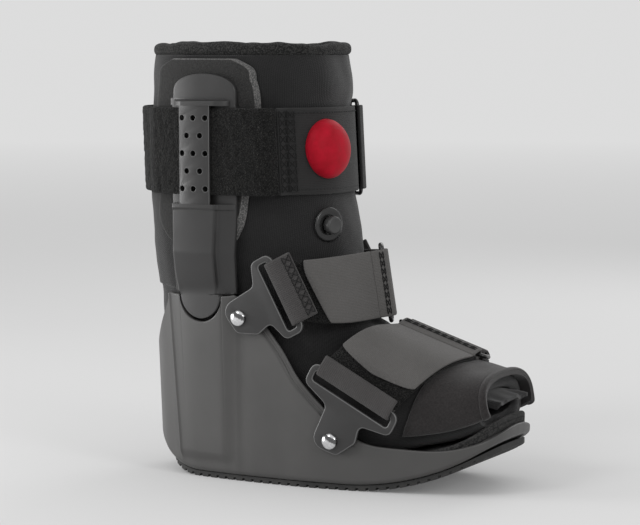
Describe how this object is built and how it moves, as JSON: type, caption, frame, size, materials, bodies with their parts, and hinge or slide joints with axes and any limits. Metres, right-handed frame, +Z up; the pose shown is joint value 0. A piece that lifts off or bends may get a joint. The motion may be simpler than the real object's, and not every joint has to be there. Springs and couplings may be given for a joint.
{
  "type": "air walker boot",
  "caption": "Short pneumatic walker boot: rocker-soled shell, padded open-toe liner, side struts, ring straps, air bulb and release valve",
  "frame": {"origin": "on the underside of the outsole's plain shank patch, under the middle of the foot; the boot stands on this point", "axes": "+X towards the toe, -Y the outer side shown in the picture, +Z up the leg"},
  "size_m": [0.2898, 0.154, 0.3125],
  "materials": {
    "shell": "satin charcoal moulded plastic",
    "rubber": "black ribbed rubber",
    "foam": "closed-cell foam",
    "liner": "fine black knit on foam",
    "pile": "black loop pile",
    "webbing": "grey-black plain weave",
    "gloss": "gloss black plastic",
    "bulb": "smooth red elastomer",
    "chrome": "domed rivet head"
  },
  "bodies": {
    "boot": {"shell": "shell", "outsole": "rubber", "footbed": "foam", "liner": "liner", "liner_collar": "liner", "toe_flap": "liner", "toe_flap_binding": "webbing", "toe_underflap": "liner", "strut_lateral": "shell", "strut_medial": "shell", "strut_pad_lateral": "pile", "strut_pad_medial": "pile", "calf_strap": "pile", "calf_panel": "webbing", "calf_ring": "gloss", "calf_tab": "webbing", "pump_bulb": "bulb", "valve_base": "gloss", "ankle_plate_lateral": "shell", "ankle_plate_medial": "shell", "ankle_strap": "pile", "ankle_anchor_strap": "webbing", "ankle_ring": "gloss", "ankle_tab": "webbing", "toe_plate_lateral": "shell", "toe_plate_medial": "shell", "toe_strap": "pile", "toe_anchor_strap": "webbing", "toe_ring": "gloss", "toe_tab": "webbing", "rivet_ankle_lateral": "chrome", "rivet_ankle_medial": "chrome", "rivet_toe_lateral": "chrome", "rivet_toe_medial": "chrome"},
    "valve_button": {"valve_button": "shell"}
  },
  "joints": [
    {"name": "valve_press", "type": "slide", "parent": "boot", "child": "valve_button", "axis": [-0.908, 0.4191, 0], "range_m": [0, 0.0015], "stiffness_N_per_m": 400}
  ]
}
